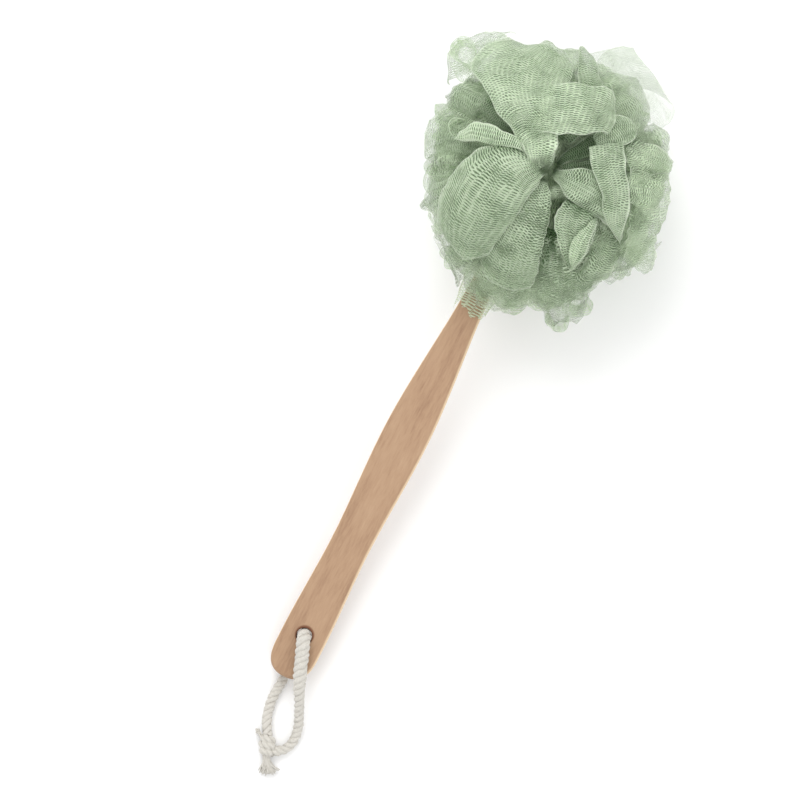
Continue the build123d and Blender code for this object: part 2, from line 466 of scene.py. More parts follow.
def front_petal(sheets, stations, lift, random, crown=5.0, openness=0.25, painted_shade=0.15,
                presence=1.0, cell=(1.0, 1.0), corner=0.1, rim=4.0, tuck=16.0, thickness=1.4,
                pleats=3, pleat_height=0.7, rows_along=False, creases=0.9, root_shade=0.55,
                rim_presence=0.85, wobble=0.35, thin_edge=0.0, root_reach=0.18,
                grid=(60, 56), crisp=(1.0, 1.0)):
    """A flattened tube of netting on the front of the pouf, from the tie to its rim.

    Each station is (left x, left y, right x, right y) from the pouf's middle, and lift says
    how far the tube stands above the pouf's dome from its root to its rim, where it rolls
    over and goes back under itself."""
    rows, columns = grid
    stations = np.asarray(stations, dtype=float)
    ends = np.linspace(0, 1, len(stations))
    lifts = np.interp(ends, np.linspace(0, 1, len(lift)), lift)
    dense = smooth_rows(np.column_stack([stations, lifts]), 401)
    around = np.linspace(0, 2 * math.pi, columns)
    share = (1 - np.cos(around)) / 2
    progress = np.linspace(0, 1, rows)[:, None] * (1 - corner * np.abs(2 * share[None] - 1) ** 3)
    place = progress * (len(dense) - 1)
    below = np.minimum(place.astype(int), len(dense) - 2)
    part = (place - below)[..., None]
    line = dense[below] * (1 - part) + dense[below + 1] * part
    left, right = line[..., 0:2], line[..., 2:4]
    flat = left * (1 - share[None, :, None]) + right * share[None, :, None]
    width = np.linalg.norm(right - left, axis=-1)
    pillow = np.sin(math.pi * share)[None] ** 0.6 * np.minimum(1, 2.2 * progress) ** 0.7
    height = dome_height(flat[..., 0], flat[..., 1]) + line[..., 4] + crown * pillow
    height = height + thickness * np.sin(around)[None] * np.minimum(1, width / 20)
    phase = random.uniform(0, 6)
    wave = np.sin(2 * math.pi * pleats * share[None] + phase + 2 * progress)
    height = height + pleat_height * wave * np.minimum(1, width / 15)
    gathers = np.sin(2 * math.pi * 7 * share[None] + phase + 1.5 * np.sin(5 * progress + phase))
    height = height + 0.55 * gathers * (1 - progress) * np.minimum(1, width / 12)
    flat = crumple(flat, random, 22, wobble)
    points = np.concatenate([flat, height[..., None]], axis=-1)
    # the roll at the rim, and the part that goes back under
    outward = points[-1] - points[-5]
    outward[:, 2] = 0
    outward /= np.linalg.norm(outward, axis=1)[:, None] + 1e-9
    down = np.array([0, 0, -1.0])
    roll = np.linspace(0, math.pi, 9)[1:, None, None]
    back = np.linspace(0, 1, 8)[1:, None, None]
    rolled = points[-1][None] + outward[None] * rim * np.sin(roll) + down * rim * (1 - np.cos(roll))
    tucked = rolled[-1][None] - outward[None] * tuck * back + down * 1.2 * tuck * back
    points = np.concatenate([points, rolled, tucked])
    total = len(points)
    points = crumple(points, random, 24, creases)
    points = crumple(points, random, 8, creases * 0.4)
    points[..., 0] += POUF_X
    points[..., 1] += POUF_Y
    steps = np.linalg.norm(np.diff(points[:, columns // 4], axis=0), axis=1)
    travelled = np.concatenate([[0], np.cumsum(steps)])[:, None]
    widest = width.max()
    across = np.where(around <= math.pi, share, 2 - share)[None] * widest * 1.1
    if rows_along:
        uvs = np.broadcast_arrays(across * cell[0], travelled * cell[1])
    else:
        uvs = np.broadcast_arrays(travelled * cell[0], across * cell[1])
    width = np.concatenate([width, np.repeat(width[-1:], total - rows, axis=0)])
    progress = np.concatenate([progress, np.ones((total - rows, columns))])
    # the fold lines along the tube's sides and over the rim: the holes close there, and the colour
    # gets a painted highlight
    from_edge = np.minimum(share, 1 - share)[None] * width
    side = crisp[0] * (1 - share[None]) + crisp[1] * share[None]
    fold = 0.9 * np.exp(-((from_edge / 0.55) ** 2)) * np.clip(side, 0, 1)
    over_rim = np.zeros((total, 1))
    over_rim[rows:rows + 8, 0] = np.sin(np.linspace(0, math.pi, 9)[1:]) ** 6
    fold = np.maximum(fold, 0.75 * over_rim)
    near_root = np.clip(1 - progress / root_reach, 0, 1)
    # painted shade, added to the look below: darker near the tie, on the half of the tube
    # underneath and on the part tucked back under
    shade_underneath = np.concatenate([np.zeros(rows), np.linspace(0, 1, total - rows)])[:, None]
    shade_underneath = np.maximum(shade_underneath, (around > math.pi)[None])
    look = net_look(
        points.shape[:2],
        openness * (1 - 0.5 * near_root),
        painted_shade + root_shade * near_root**1.5 + 0.4 * shade_underneath,
        fold * (1 - 0.6 * near_root),
        presence * (1 - (1 - rim_presence) * progress**1.5)
        * (1 - thin_edge * np.exp(-from_edge / 3.5)),
    )
    sheets.add(points, np.stack(uvs, axis=-1), look)


def loop_petal(sheets, origin, direction, normal, length, width, random, loop=9.0, waves=2.0,
               wave_height=6.0, bend=0.0, openness=0.6, painted_shade=0.2, presence=1.0, cell=(1.0, 1.0)):
    """A loop of netting that goes out from the tie, turns over and comes back."""
    rows, columns = 44, 30
    direction = np.asarray(direction, float) / np.linalg.norm(direction)
    normal = np.asarray(normal, float)
    normal -= direction * (normal @ direction)
    normal /= np.linalg.norm(normal)
    side = np.cross(normal, direction)
    turn = np.linspace(0, 2 * math.pi, rows)
    reach = (1 - np.cos(turn)) / 2
    gap = loop * np.sin(turn) * np.sin(turn / 2)
    v = np.linspace(-1, 1, columns)
    spread = TIE_HALF_WIDTH + (width / 2 - TIE_HALF_WIDTH) * reach**0.75
    phase, drift = random.uniform(0, 2 * math.pi, 2)
    ruffle = wave_height * reach[:, None] ** 1.3 * np.sin(
        math.pi * waves * v[None] + phase + drift * reach[:, None] + 0.35 * np.sin(turn)[:, None]
    )
    rim_line = 1 - 0.30 * np.abs(v[None]) ** 2.3
    points = (
        np.asarray(origin, float)
        + direction * (reach[:, None] * rim_line * length)[..., None]
        + side * (spread[:, None] * v[None])[..., None]
        + normal * (gap[:, None] + ruffle + bend * (reach[:, None] ** 2))[..., None]
    )
    points = crumple(points, random, 26, 2.2)
    points = crumple(points, random, 10, 0.4)
    height = points[..., 2]
    room = FLOOR_EASE - FLOOR_GAP
    eased = FLOOR_GAP + room * np.exp((height - FLOOR_EASE) / room)
    points[..., 2] = np.where(height < FLOOR_EASE, eased, height)
    centre = points[:, columns // 2]
    steps = np.linalg.norm(np.diff(centre, axis=0), axis=1)
    travelled = np.concatenate([[0], np.cumsum(steps)])[:, None]
    uvs = np.broadcast_arrays(travelled * cell[0], (v[None] + 1) / 2 * width * 1.2 * cell[1])
    from_edge = (1 - np.abs(v))[None] * spread[:, None]
    out = reach[:, None]
    # painted shade darkens the loop towards the tie, and a painted highlight brightens its edges
    look = net_look(
        points.shape[:2],
        openness * np.clip(out * 1.3, 0, 1) ** 1.5,
        painted_shade + 0.75 * (1 - out) ** 1.2,
        0.5 * np.exp(-((from_edge / 0.6) ** 2)) * out,
        presence,
    )
    sheets.add(points, np.stack(uvs, axis=-1), look)


def curl(sheets, centre, radius, outward, random, height=15.0, lean=0.35, openness=0.7,
         presence=1.0, tail=22.0):
    """A loop of netting at the pouf's outline that stands on edge, so that it shows a round
    opening from the front; centre is (x, y, z) from the pouf's middle on the floor."""
    rows, columns = 54, 16
    heading = math.radians(outward)
    ring = np.linspace(-math.radians(140), math.radians(140), 36)
    tail_steps = np.linspace(1, 0, 10)[:-1]
    end = np.array([math.cos(ring[0]), math.sin(ring[0])]) * radius
    into = np.column_stack([end[0] - tail_steps * tail, end[1] * (1 - 0.75 * tail_steps)])
    out_of = into[::-1] * np.array([1, -1])
    circle = np.column_stack([np.cos(ring), np.sin(ring)]) * radius
    path = np.vstack([into, circle, out_of])[:rows]
    v = np.linspace(-1, 1, columns)
    flare = 1 + 0.16 * v[None]
    ahead = np.array([math.cos(heading), math.sin(heading)])
    beside = np.array([-math.sin(heading), math.cos(heading)])
    plan = path[:, None, 0:1] * ahead * flare[..., None]
    plan = plan + path[:, None, 1:2] * beside * flare[..., None]
    rise = v[None] * height / 2 + np.zeros((len(path), 1))
    slant = rise[..., None] * lean * ahead
    points = np.concatenate([plan + slant, rise[..., None]], axis=-1)
    points = points + np.array([centre[0] + POUF_X, centre[1] + POUF_Y, centre[2]])
    points = crumple(points, random, 18, 1.4)
    points = crumple(points, random, 7, 0.3)
    steps = np.linalg.norm(np.diff(points[:, columns // 2], axis=0), axis=1)
    travelled = np.concatenate([[0], np.cumsum(steps)])[:, None]
    uvs = np.broadcast_arrays((v[None] + 1) / 2 * height, travelled)
    from_edge = (1 - np.abs(v))[None] * height / 2
    # its edges get a painted highlight, and the whole loop a little painted shade
    fold = 0.5 * np.exp(-((from_edge / 0.6) ** 2)) + np.zeros((len(path), 1))
    look = net_look(points.shape[:2], openness, 0.1, fold, presence)
    sheets.add(points, np.stack(uvs, axis=-1), look)


# ---- the front petals, read from the photograph ----
# Each station is (left x, left y, right x, right y) in millimetres from the pouf's middle.
PETAL_LEFT = [
    (0, 6.5, 2.7, 5.3), (-16.7, 9.3, 2.7, -0.2), (-33.3, 4, 1.5, -6.8),
    (-42.5, -12.7, 0, -17.7), (-44.3, -29.3, -1, -32.7), (-41.3, -44.3, -3, -46.8),
    (-32.5, -56, -8.3, -58.5),
]
PETAL_BEHIND_LEFT = [
    (1.3, 4, 4.3, 2.3), (-1.7, -6, 10.8, -5.2), (-5, -19.3, 16.7, -20.2),
    (-6.7, -34.3, 21.3, -36.8), (-8.3, -49.3, 25, -50.2), (-6.7, -62.7, 25.7, -60.2),
]
PETAL_TOP = [
    (-2.5, 5.3, 0.8, 6), (-13.3, 9.8, 3.3, 13.2), (-23.3, 14.8, 0.8, 20.7),
    (-40, 24, -3.3, 32.3), (-54.2, 33.2, -5.8, 44), (-63.3, 39.8, -7.5, 54),
    (-62.5, 51.5, -9.2, 61.5), (-54, 60.5, -11.5, 64.5), (-46, 65.2, -17.3, 67.8),
]
PETAL_TOP_FOLD = [
    (-23, 41, -17.5, 15), (-16, 50, -8.3, 23), (-4, 57, 2, 27.5), (7, 61.5, 10, 31.5),
    (14, 63, 18, 35.5), (18.5, 60, 24.5, 39.5),
]
PETAL_LENS = [
    (-11.7, 13.2, -11.7, 8.7), (-23.3, 14.5, -20.8, 8.2), (-35, 15.3, -30.8, 5.3),
    (-44.7, 11, -40.8, 1.5), (-50, 4, -49.7, -1.8),
]
PETAL_RIGHT = [
    (34.5, 39.5, 17, 28.5), (38.6, 33.5, 22, 21), (45, 24.7, 29, 14),
    (51.5, 14.5, 36.5, 6), (56, 4, 44, -2.5), (57.8, -5.5, 51, -8), (58.2, -11, 57, -11.5),
]
PETAL_MIDDLE_RIGHT = [
    (5.3, 9.8, 5.3, 7), (13.3, 12.7, 11.7, 2), (23.3, 16.5, 20.8, -3),
    (33.3, 17.3, 33.3, -5.5), (43.3, 9, 45.8, -7.3), (51.7, -2.7, 57.5, -11.3),
]
PETAL_CUP = [
    (20.5, -4, 40, -6.7), (19.5, -11, 42.5, -12.7), (21.3, -20.2, 43.5, -20.2),
    (27, -28.5, 43.8, -27.7), (33.8, -35.2, 43, -34.3), (39.2, -38.2, 41.2, -38),
]
PETAL_CUP_FLAP = [
    (39.5, -6.5, 41, -6.8), (35.8, -14.5, 43, -15), (34, -23, 44, -24), (35, -31, 43.8, -32),
    (39, -37.5, 41.5, -38.4),
]
PETAL_TIP = [
    (-18, 17.5, 0, 27), (-16.5, 13, 3, 20), (-12.5, 9, 3.5, 13), (-7, 5.5, 2, 8),
    (-3.5, 3.6, -1, 4.2),
]
PETAL_PEAK = [
    (-4, 26, 8, 26), (-3, 42, 14, 46), (-4, 57, 13, 60), (-7, 64, 6, 68),
    (-11, 70, 3, 71.5), (-12, 74, -1, 74.5),
]
PETAL_FAR_RIGHT = [
    (26, 34, 36, 44), (38, 32, 54, 46), (52, 16, 66, 34), (58, -2, 74, 12),
    (62, -13, 79, -8), (68, -19, 80, -19),
]
PETAL_SHOULDER = [
    (36, 36, 34, 24), (48, 45, 44, 27), (58, 47, 55, 29), (64, 43, 61, 32),
]
PETAL_SHOULDER_LOW = [
    (44, 24, 42, 8), (56, 29, 54, 10), (64, 29, 63, 12), (68, 24, 67, 16),
]
PETAL_LOW_RIGHT = [
    (38, -2, 50, 0), (44, -12, 62, -12), (45, -26, 62, -26), (44, -38, 58, -38),
    (46, -46, 54, -46),
]
PETAL_BOTTOM = [
    (2, -30, 24, -28), (-4, -44, 30, -44), (-8, -58, 30, -58), (-9, -70, 26, -70),
    (-4, -80, 16, -78),
]
PETAL_BOTTOM_RIGHT = [
    (16, -22, 30, -16), (18, -38, 44, -30), (22, -52, 54, -44), (30, -64, 58, -56),
    (38, -71, 54, -66),
]
PETAL_BOTTOM_LEFT = [
    (-20, -36, -6, -38), (-32, -48, -8, -52), (-34, -58, -10, -64), (-22, -68, -12, -72),
]
PETAL_SIDE_LEFT = [
    (-18, 0, -18, 10), (-36, -8, -38, 12), (-52, -18, -56, 10), (-60, -22, -66, 8),
]
PETAL_LOWER_LEFT = [
    (-20, -22, -26, -8), (-34, -36, -42, -14), (-43, -44, -53, -22), (-45, -46, -54, -32),
]
PETAL_TOP_RIGHT = [
    (6, 30, 20, 24), (6, 46, 32, 38), (5, 60, 40, 50), (7, 70, 42, 60), (14, 75, 36, 68),
]
PETAL_TOP_RIGHT_LOW = [
    (20, 26, 28, 18), (32, 42, 46, 30), (40, 54, 60, 38), (46, 60, 66, 42),
]
PETAL_BESIDE_FOLD = [
    (18, 34, 24, 28), (20, 44, 31, 35), (22, 52, 35.5, 38.5), (30, 53, 38, 44), (34, 52, 38, 47),
]
PETAL_GAP_UPPER = [
    (3, 9, 5, 8), (8, 20, 13, 15), (14, 31, 23, 23), (20, 40, 32, 31),
]
PETAL_GAP_LOWER = [
    (4, 8, 6, 7), (13, 16, 17, 11), (23, 25, 29, 17), (30, 32, 38, 24),
]
PETAL_GAP_LEFT = [
    (-14, 12, -12, 17), (-32, 14, -30, 27), (-48, 12, -46, 34), (-58, 10, -62, 32),
    (-64, 14, -66, 26),
]
VEIL_TOP_RIGHT = [
    (4, 52, 44, 48), (1, 66, 52, 60), (0, 78, 53, 71), (4, 86, 42, 79), (9, 90, 30, 86),
]
VEIL_TOP_LEFT = [
    (-44, 24, -36, 50), (-58, 28, -44, 60), (-70, 32, -52, 65), (-76, 38, -60, 64),
    (-77, 44, -68, 58),
]


VEILS = 18


def add_veils(sheets, random, height_drop):
    """Sheer round petals all round the pouf, whose rims make its soft outline."""
    for number in range(VEILS):
        azimuth = 2 * math.pi * (number + random.uniform(-0.4, 0.4)) / VEILS
        reach = outline_radius(azimuth) + random.uniform(-4, 1.5)
        ahead = np.array([math.cos(azimuth), math.sin(azimuth)])
        beside = np.array([math.sin(azimuth), -math.cos(azimuth)])
        half = random.uniform(9, 16)
        stations = []
        for share, spread in ((0.5, 0.55), (0.68, 0.85), (0.84, 1.0), (0.95, 0.9), (1.0, 0.6)):
            middle = ahead * reach * share + beside * random.uniform(-2, 2)
            edge = beside * half * spread
            stations.append((*(middle - edge), *(middle + edge)))
        front_petal(sheets, stations, [height_drop, height_drop], random, crown=3,
                    openness=0.95, painted_shade=0.0, presence=random.uniform(0.6, 0.9), cell=(1.0, 1.3),
                    corner=0.2, rim=3, tuck=14, root_shade=0.0, rim_presence=0.7, wobble=0.8,
                    creases=1.6, pleats=2, pleat_height=1.4, thin_edge=0.3, grid=(30, 30))


def build_front_petals(front, random):
    """The petals in view, from the ones underneath to the ones on top."""
    add_veils(front, random, -26)
    add_veils(front, random, -12)
    fine = (1.2, 1.7)
    ruffled = dict(cell=fine, corner=0.4, pleats=4, pleat_height=1.8, creases=1.8, wobble=0.8,
                   thin_edge=0.6, presence=0.9, grid=(40, 40))
    # the sheer outer veils
    front_petal(front, VEIL_TOP_RIGHT, [-14, -6], random, openness=0.75, presence=0.28, painted_shade=0.05,
                corner=0.12, root_shade=0, creases=0.2, pleat_height=0.2, crown=2, cell=(1.1, 1.5),
                rim_presence=1.0)
    front_petal(front, VEIL_TOP_LEFT, [-12, -6], random, openness=0.9, presence=0.6, painted_shade=0.05,
                corner=0.2, root_shade=0, creases=0.5, cell=(1.0, 1.2), rim_presence=1.0)
    # the ruffles round the edge
    front_petal(front, PETAL_BOTTOM, [-14, -4], random, openness=0.85, painted_shade=0,
                rim_presence=0.35, **ruffled)
    front_petal(front, PETAL_BOTTOM_RIGHT, [-16, -8], random, openness=0.75, rim_presence=0.4,
                root_shade=0.9, root_reach=0.65, **ruffled)
    front_petal(front, PETAL_BOTTOM_LEFT, [-12, -5], random, openness=0.8, rim_presence=0.4,
                **ruffled)
    front_petal(front, PETAL_SIDE_LEFT, [-14, -8], random, openness=0.7, rim_presence=0.4,
                **ruffled)
    front_petal(front, PETAL_LOWER_LEFT, [-14, -8], random, openness=0.7, rim_presence=0.4,
                **ruffled)
    front_petal(front, PETAL_GAP_LEFT, [-12, -8], random, openness=0.6, rim_presence=0.4,
                root_shade=0.8, root_reach=0.7, **ruffled)
    front_petal(front, PETAL_TOP_RIGHT, [-14, -4], random, openness=0.65, rim_presence=0.4,
                painted_shade=0.05, root_reach=0.45, **ruffled)
    front_petal(front, PETAL_TOP_RIGHT_LOW, [-18, -8], random, openness=0.65, rim_presence=0.45,
                painted_shade=0.05, root_reach=0.45, **ruffled)
    front_petal(front, PETAL_PEAK, [-6, 3], random, crown=3, openness=0.6, cell=fine,
                corner=0.05, rim_presence=0.6, presence=0.9)
    front_petal(front, PETAL_FAR_RIGHT, [-3, 0], random, crown=4, openness=0.8, cell=fine,
                corner=0.1, rim=2, rim_presence=0.4, creases=1.4, painted_shade=0.0)
    front_petal(front, PETAL_SHOULDER, [-6, 1], random, crown=4, openness=0.7, cell=fine,
                corner=0.1, rim=2, rim_presence=0.6, creases=1.3, painted_shade=0.0)
    front_petal(front, PETAL_SHOULDER_LOW, [-3, 3], random, crown=4, openness=0.7, cell=fine,
                corner=0.1, rim=2, rim_presence=0.6, creases=1.3, painted_shade=0.0)
    front_petal(front, PETAL_LOW_RIGHT, [-14, -8], random, crown=5, openness=0.6, cell=fine,
                corner=0.25, rim_presence=0.5, creases=1.6, root_shade=0.8, root_reach=0.5)
    # the folds down in the gap beside the middle, painted dark as shade
    front_petal(front, PETAL_GAP_UPPER, [-10, -8], random, crown=3, openness=0.5, painted_shade=0.7,
                cell=fine, rim=2)
    front_petal(front, PETAL_GAP_LOWER, [-12, -10], random, crown=3, openness=0.5, painted_shade=0.6,
                cell=fine, rim=2)
    # the petals that the front shows whole
    front_petal(front, PETAL_BEHIND_LEFT, [-6, -2, 0, -3], random, crown=5, openness=0.6,
                painted_shade=0.15, corner=0.12, cell=(1.0, 1.3), rim_presence=0.5, root_shade=0.3)
    front_petal(front, PETAL_LEFT, [0, 4, 6, 2], random, crown=8, openness=0.42, painted_shade=0.15,
                corner=0.15, pleat_height=0.3, rim_presence=0.5, wobble=0.15, root_shade=0.2)
    front_petal(front, PETAL_MIDDLE_RIGHT, [0, 2, 0, -4], random, crown=5, openness=0.5,
                painted_shade=0.15, cell=fine, pleat_height=1.1)
    front_petal(front, PETAL_CUP, [1, 4, 6, 6], random, crown=-3, openness=0.6, painted_shade=0.15,
                cell=fine, corner=0.0, rim=2, tuck=6)
    front_petal(front, PETAL_CUP_FLAP, [3, 7, 9, 8], random, crown=2, openness=0.45, painted_shade=0.0,
                cell=fine, corner=0.0, rim=1.5, tuck=5, crisp=(0.15, 1.0), pleat_height=1.0)
    front_petal(front, PETAL_BESIDE_FOLD, [4, 4, 2], random, crown=2, openness=0.5, painted_shade=0.1,
                cell=fine, corner=0.15, rim=1.5, tuck=5, root_shade=0.4)
    front_petal(front, PETAL_RIGHT, [4, 8, 7, 2], random, crown=3, openness=0.5, painted_shade=0.12,
                cell=fine, corner=0.0, rim=1.5, tuck=5, root_shade=0.1)
    front_petal(front, PETAL_TOP, [4, 7, 8, 2], random, crown=7, openness=0.45, painted_shade=0.05,
                corner=0.12, pleat_height=0.8, cell=(1.2, 1.4), rim_presence=0.6)
    front_petal(front, PETAL_TOP_FOLD, [10, 13, 12, 7], random, crown=3, openness=0.5,
                painted_shade=0.1, cell=(1.25, 1.3), corner=0.06, rim=2, tuck=8, rows_along=True,
                root_shade=0.1)
    front_petal(front, PETAL_TIP, [8, 9, 9, 7, 4], random, crown=2, openness=0.35, painted_shade=0.0,
                cell=fine, corner=0.0, rim=1, tuck=4, root_shade=0.0, rim_presence=1.0)
    front_petal(front, PETAL_LENS, [4, 8, 8, 4], random, crown=3, openness=0.35, painted_shade=0.0,
                cell=fine, corner=0.0, rim=1.5, tuck=5, root_shade=0.2)


# (x, y, height above the floor, radius, heading in degrees) of the loops that stand on edge
CURLS = [
    (-69, 45, 74, 6.5, 160), (-62, 9, 66, 5.5, 175), (-57, -1, 74, 4, 200),
    (-54, 17, 80, 5, 150), (-53, -19, 70, 6, 205), (46, -66, 58, 6, 300), (54, -52, 66, 5, 315),
]
SPARE_CURLS = 9


def add_curls(sheets, random, low, high):
    """More loops on edge, all round the pouf, between two heights above the floor."""
    for number in range(SPARE_CURLS):
        azimuth = 2 * math.pi * (number + random.uniform(-0.3, 0.3)) / SPARE_CURLS
        height = random.uniform(low, high)
        level = (height - TIE_HEIGHT) / CROWN_HEIGHT
        radius = random.uniform(4, 7.5)
        reach = (outline_radius(azimuth) - 3) * math.sqrt(1 - min(0.9, level**2)) - radius
        centre = (reach * math.cos(azimuth), reach * math.sin(azimuth), height)
        curl(sheets, centre, radius, math.degrees(azimuth) + random.uniform(-25, 25), random,
             height=random.uniform(14, 26), lean=random.uniform(-0.8, 0.8), openness=0.7,
             presence=0.9)


def add_filling(sheets, random, low, high, count):
    """Loops from the tie in all directions between two elevations in degrees."""
    golden = math.pi * (3 - math.sqrt(5))
    for number in range(count):
        azimuth = number * golden + random.uniform(-0.15, 0.15)
        elevation = math.radians(random.uniform(low, high))
        flat = math.cos(elevation)
        direction = np.array(
            [flat * math.cos(azimuth), flat * math.sin(azimuth), math.sin(elevation)]
        )
        # two loops in five are sheer and reach the outline, and the dense ones stop inside it
        sheer = number % 5 < 2
        outline = outline_radius(azimuth) - (4 if sheer else 13)
        # above the tie the loops stay lower, to leave room for the front petals
        height = 60 if elevation < 0 else 52 if elevation < math.radians(62) else 42
        surface = 1 / math.sqrt((flat / outline) ** 2 + (math.sin(elevation) / height) ** 2)
        normal = np.array([0, 0, random.uniform(0.1, 0.9)]) + random.normal(size=3) * 0.6
        # the dense loops carry a little painted shade, the sheer ones none
        loop_petal(
            sheets, (POUF_X, POUF_Y, TIE_HEIGHT), direction, normal,
            surface * (random.uniform(0.97, 1.04) if sheer else random.uniform(0.82, 0.94)),
            random.uniform(34, 52), random, waves=random.uniform(0.5, 1.5),
            wave_height=random.uniform(2, 6), bend=random.uniform(-8, 8),
            openness=0.95 if sheer else 0.55, painted_shade=0.0 if sheer else 0.15,
            presence=0.85 if sheer else 1.0, cell=(1.1, 1.5),
        )


def add_edge_loops(sheets, random, low, high, count):
    """Loops that stand on edge round the pouf's outline, so that each shows as a teardrop."""
    for number in range(count):
        azimuth = 2 * math.pi * (number + random.uniform(-0.35, 0.35)) / count
        elevation = math.radians(random.uniform(low, high))
        flat = math.cos(elevation)
        direction = np.array(
            [flat * math.cos(azimuth), flat * math.sin(azimuth), math.sin(elevation)]
        )
        across = np.array([-math.sin(azimuth), math.cos(azimuth), random.uniform(-0.5, 0.5)])
        reach = outline_radius(azimuth) * random.uniform(0.88, 1.02)
        reach = reach * (1 - 0.12 * abs(direction[2]))
        loop_petal(
            sheets, (POUF_X, POUF_Y, TIE_HEIGHT), direction, across, reach,
            random.uniform(20, 34), random, loop=random.uniform(6, 11), waves=0.8,
            wave_height=random.uniform(1, 4), bend=random.uniform(-9, 9), openness=0.9,
            painted_shade=0.0, presence=random.uniform(0.7, 1.0), cell=(1.1, 1.5),
        )


# the handle where it enters the pouf: its slope in degrees, and the wisp's size round it
HANDLE_SLOPE = 8.304
HANDLE_HALF_WIDTH = 9.6
HANDLE_HALF_DEPTH = 7.0


def handle_wisp(sheets, random):
    """The ragged end of the netting that lies round the handle where it enters the pouf."""
    rows, columns = 16, 36
    share = np.linspace(-1, 1, columns)
    angle = share * math.radians(115)
    ragged = 85 + 2.2 * np.sin(5 * share + 0.6) + 1.2 * np.sin(17 * share)
    start = 62.0
    down = start + (ragged - start)[None] * np.linspace(0, 1, rows)[:, None]
    slope = math.tan(math.radians(HANDLE_SLOPE))
    axis_height = TIE_HEIGHT - down * slope
    widen = 1 + 0.35 * np.linspace(1, 0, rows)[:, None]
    x = HANDLE_HALF_WIDTH * np.sin(angle)[None] * widen
    z = axis_height + HANDLE_HALF_DEPTH * np.cos(angle)[None] * widen
    points = np.stack([x + POUF_X, -down + POUF_Y, z], axis=-1)
    points = crumple(points, random, 9, 0.25)
    uvs = np.stack([down, 0 * down + share[None] * 16], axis=-1)
    # a little painted shade
    sheets.add(points, uvs, net_look(down.shape, 0.55, 0.1, 0.0, 0.75))


# (node, elevations of its loops in degrees, loops, heights of its curls, loops on edge)
LAYERS = (
    ("netting_front", (34, 84), 16, (74, 92), 10),
    ("netting_front_middle", (2, 36), 40, (56, 74), 30),
    ("netting_rear_middle", (-36, 2), 36, (38, 56), 26),
    ("netting_rear", (-86, -36), 24, (18, 38), 12),
)


def build_netting():
    net = netting_material()
    random = np.random.default_rng(7)
    for name, elevations, count, heights, edge_loops in LAYERS:
        sheets = Sheets()
        add_filling(sheets, random, *elevations, count)
        add_curls(sheets, random, *heights)
        add_edge_loops(sheets, random, *elevations, edge_loops)
        if name == "netting_front":
            build_front_petals(sheets, random)
            for x, y, height, radius, outward in CURLS:
                curl(sheets, (x, y, height), radius, outward, random)
            handle_wisp(sheets, random)
        item = sheets.build(name.replace("netting", "net"), net)
        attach(item, MAIN_BODY)
        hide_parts(name)


# ---- hanging rope ----
FLOOR_RUN = 3.05
ROPE_RADIUS = 3.0
ROPE_POINTS = [
    (13.6, -42.6, 4.2), (19.6, -39.0, FLOOR_RUN), (22.6, -32.0, FLOOR_RUN), (21.2, -23.0, 5.2),
    (16.2, -12.0, 12.4), (10.6, -1.2, 19.5), (5.2, 12.4, 21.1), (-0.2, 26.1, 22.8),
    (0.0, 28.4, 7.1), (1.0, 13.4, 4.9), (0.6, -2.0, FLOOR_RUN), (-0.3, -16.6, FLOOR_RUN),
    (2.8, -28.4, 3.3), (7.6, -35.6, 4.4),
]


def route_line(name, points):
    """Points along the smooth NURBS line of a route given from the tail's end."""
    curve = bpy.data.curves.new(name, "CURVE")
    curve.dimensions = "3D"
    curve.resolution_u = 16
    spline = curve.splines.new("NURBS")
    spline.points.add(len(points) - 1)
    for point, place in zip(spline.points, points):
        point.co = (place[0] * MM, TAIL_Y + place[1] * MM, place[2] * MM, 1)
    spline.order_u = 3
    spline.use_endpoint_u = True
    item = bpy.data.objects.new(name, curve)
    line = bpy.data.meshes.new_from_object(item)
    places = np.array([vertex.co[:] for vertex in line.vertices]) / MM
    bpy.data.objects.remove(item)
    bpy.data.curves.remove(curve)
    bpy.data.meshes.remove(line)
    return places


def even_steps(line, step):
    """The line's points again, an even distance apart."""
    lengths = np.concatenate([[0], np.cumsum(np.linalg.norm(np.diff(line, axis=0), axis=1))])
    count = max(4, int(round(lengths[-1] / step)) + 1)
    targets = np.linspace(0, lengths[-1], count)
    return np.column_stack([np.interp(targets, lengths, line[:, k]) for k in range(3)]), lengths[-1]


def line_frames(line):
    """Two directions square to the line at each point, turned as little as possible."""
    tangents = np.gradient(line, axis=0)
    tangents /= np.linalg.norm(tangents, axis=1)[:, None]
    first = np.cross(tangents[0], [0.3, 0.2, 1.0])
    normals = [first / np.linalg.norm(first)]
    for tangent in tangents[1:]:
        normal = normals[-1] - tangent * (normals[-1] @ tangent)
        normals.append(normal / np.linalg.norm(normal))
    normals = np.array(normals)
    return tangents, normals, np.cross(tangents, normals)


